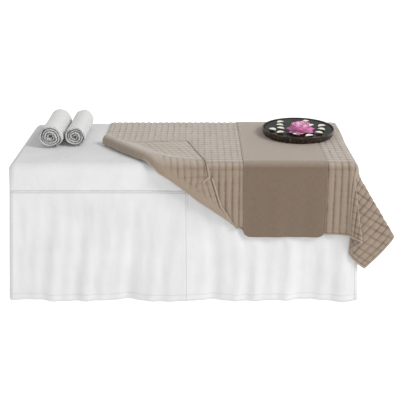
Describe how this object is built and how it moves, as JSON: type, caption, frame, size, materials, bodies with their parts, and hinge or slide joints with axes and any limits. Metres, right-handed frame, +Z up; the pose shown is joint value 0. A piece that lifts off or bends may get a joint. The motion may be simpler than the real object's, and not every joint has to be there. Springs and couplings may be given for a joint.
{
  "type": "portable massage table",
  "caption": "Folding wooden massage table in a white skirted cover, with a quilt, a runner, rolled towels and a flower dish on top.",
  "frame": {"origin": "middle of the whole outline, on the floor under the feet", "axes": "+X along the table, towards the end where the quilt hangs; -Y towards the side with the turned-back quilt corner; +Z up"},
  "size_m": [2.113, 0.924, 0.9333],
  "materials": {
    "beech": "satin lacquer",
    "plywood": "sanded, unfinished",
    "pad_vinyl": "soft matte upholstery vinyl",
    "steel": "zinc-plated, satin",
    "black_rubber": "matte",
    "knob_plastic": "fine moulded texture",
    "handle_leather": "matte",
    "white_cotton": "plain weave, matte",
    "taupe_quilting": "box-quilted, matte",
    "brown_linen": "woven, soft sheen",
    "white_terry": "terry loops, matte",
    "dark_marble": "polished",
    "water": "clear over a dark base",
    "pink_petals": "satin petals"
  },
  "bodies": {
    "left_half": {"left_side_rail_front": "beech", "left_side_rail_rear": "beech", "left_end_rail": "beech", "left_centre_rail": "beech", "left_deck": "plywood", "left_pad": "pad_vinyl", "left_leg_axle": "steel", "left_carry_handle": "handle_leather", "hinge_leaf_left_front": "steel", "hinge_leaf_left_rear": "steel", "hinge_pin_front": "steel", "hinge_pin_rear": "steel", "catch_screw_front": "steel", "catch_screw_rear": "steel"},
    "right_half": {"right_side_rail_front": "beech", "right_side_rail_rear": "beech", "right_end_rail": "beech", "right_centre_rail": "beech", "right_deck": "plywood", "right_pad": "pad_vinyl", "right_leg_axle": "steel", "right_carry_handle": "handle_leather", "hinge_leaf_right_front": "steel", "hinge_leaf_right_rear": "steel", "catch_stud_front": "steel", "catch_stud_rear": "steel"},
    "left_legs": {"left_front_upper_leg": "beech", "left_rear_upper_leg": "beech", "left_leg_stretcher": "beech"},
    "left_front_extension": {"left_front_lower_leg": "beech", "left_front_foot": "black_rubber"},
    "left_front_clamp": {"left_front_knob": "knob_plastic"},
    "left_rear_extension": {"left_rear_lower_leg": "beech", "left_rear_foot": "black_rubber"},
    "left_rear_clamp": {"left_rear_knob": "knob_plastic"},
    "right_legs": {"right_front_upper_leg": "beech", "right_rear_upper_leg": "beech", "right_leg_stretcher": "beech"},
    "right_front_extension": {"right_front_lower_leg": "beech", "right_front_foot": "black_rubber"},
    "right_front_clamp": {"right_front_knob": "knob_plastic"},
    "right_rear_extension": {"right_rear_lower_leg": "beech", "right_rear_foot": "black_rubber"},
    "right_rear_clamp": {"right_rear_knob": "knob_plastic"},
    "front_catch": {"catch_hook_front": "steel"},
    "rear_catch": {"catch_hook_rear": "steel"},
    "cover": {"cover_cap": "white_cotton", "skirt_front_left": "white_cotton", "skirt_front_right": "white_cotton", "skirt_rear_left": "white_cotton", "skirt_rear_right": "white_cotton", "skirt_left_end": "white_cotton", "skirt_right_end": "white_cotton"},
    "quilt": {"quilt": "taupe_quilting"},
    "runner": {"runner": "brown_linen"},
    "dish": {"flower_dish": "dark_marble", "dish_water": "water", "lotus_flower": "pink_petals"},
    "left_towel": {"rolled_towel_left": "white_terry"},
    "right_towel": {"rolled_towel_right": "white_terry"}
  },
  "joints": [
    {"name": "centre_fold", "type": "hinge", "parent": "left_half", "child": "right_half", "pos_m": [-0.0815, 0, 0.6395], "axis": [0, 1, 0], "range_deg": [0, 180]},
    {"name": "left_leg_fold", "type": "hinge", "parent": "left_half", "child": "left_legs", "pos_m": [-0.9455, 0, 0.69], "axis": [0, 1, 0], "range_deg": [-94, 0]},
    {"name": "left_front_height", "type": "slide", "parent": "left_legs", "child": "left_front_extension", "axis": [-0.0698, 0, -0.9976], "range_m": [-0.19, 0]},
    {"name": "left_front_clamp_turn", "type": "hinge", "parent": "left_legs", "child": "left_front_clamp", "pos_m": [-0.96713, -0.3, 0.38076], "axis": [0, 1, 0], "continuous": true},
    {"name": "left_rear_height", "type": "slide", "parent": "left_legs", "child": "left_rear_extension", "axis": [-0.0698, 0, -0.9976], "range_m": [-0.19, 0]},
    {"name": "left_rear_clamp_turn", "type": "hinge", "parent": "left_legs", "child": "left_rear_clamp", "pos_m": [-0.96713, 0.3, 0.38076], "axis": [0, 1, 0], "continuous": true},
    {"name": "right_leg_fold", "type": "hinge", "parent": "right_half", "child": "right_legs", "pos_m": [0.7825, 0, 0.69], "axis": [0, 1, 0], "range_deg": [0, 94]},
    {"name": "right_front_height", "type": "slide", "parent": "right_legs", "child": "right_front_extension", "axis": [0.0698, 0, -0.9976], "range_m": [-0.19, 0]},
    {"name": "right_front_clamp_turn", "type": "hinge", "parent": "right_legs", "child": "right_front_clamp", "pos_m": [0.80412, -0.248, 0.38076], "axis": [0, 1, 0], "continuous": true},
    {"name": "right_rear_height", "type": "slide", "parent": "right_legs", "child": "right_rear_extension", "axis": [0.0698, 0, -0.9976], "range_m": [-0.19, 0]},
    {"name": "right_rear_clamp_turn", "type": "hinge", "parent": "right_legs", "child": "right_rear_clamp", "pos_m": [0.80412, 0.248, 0.38076], "axis": [0, 1, 0], "continuous": true},
    {"name": "front_catch_turn", "type": "hinge", "parent": "left_half", "child": "front_catch", "pos_m": [-0.9925, -0.28, 0.672], "axis": [-1, 0, 0], "range_deg": [0, 90]},
    {"name": "rear_catch_turn", "type": "hinge", "parent": "left_half", "child": "rear_catch", "pos_m": [-0.9925, 0.28, 0.672], "axis": [1, 0, 0], "range_deg": [0, 90]},
    {"name": "cover_lift", "type": "slide", "parent": "left_half", "child": "cover", "axis": [0, 0, 1], "range_m": [0, 0.8]},
    {"name": "quilt_lift", "type": "slide", "parent": "cover", "child": "quilt", "axis": [0, 0, 1], "range_m": [0, 0.6]},
    {"name": "runner_lift", "type": "slide", "parent": "quilt", "child": "runner", "axis": [0, 0, 1], "range_m": [0, 0.45]},
    {"name": "dish_lift", "type": "slide", "parent": "runner", "child": "dish", "axis": [0, 0, 1], "range_m": [0, 0.2]},
    {"name": "left_towel_lift", "type": "slide", "parent": "cover", "child": "left_towel", "axis": [0, 0, 1], "range_m": [0, 0.25]},
    {"name": "right_towel_lift", "type": "slide", "parent": "cover", "child": "right_towel", "axis": [0, 0, 1], "range_m": [0, 0.25]}
  ],
  "couplings": [
    {"joint": "left_leg_fold", "follows": "centre_fold", "ratio": -0.5222},
    {"joint": "right_leg_fold", "follows": "centre_fold", "ratio": 0.5222}
  ]
}
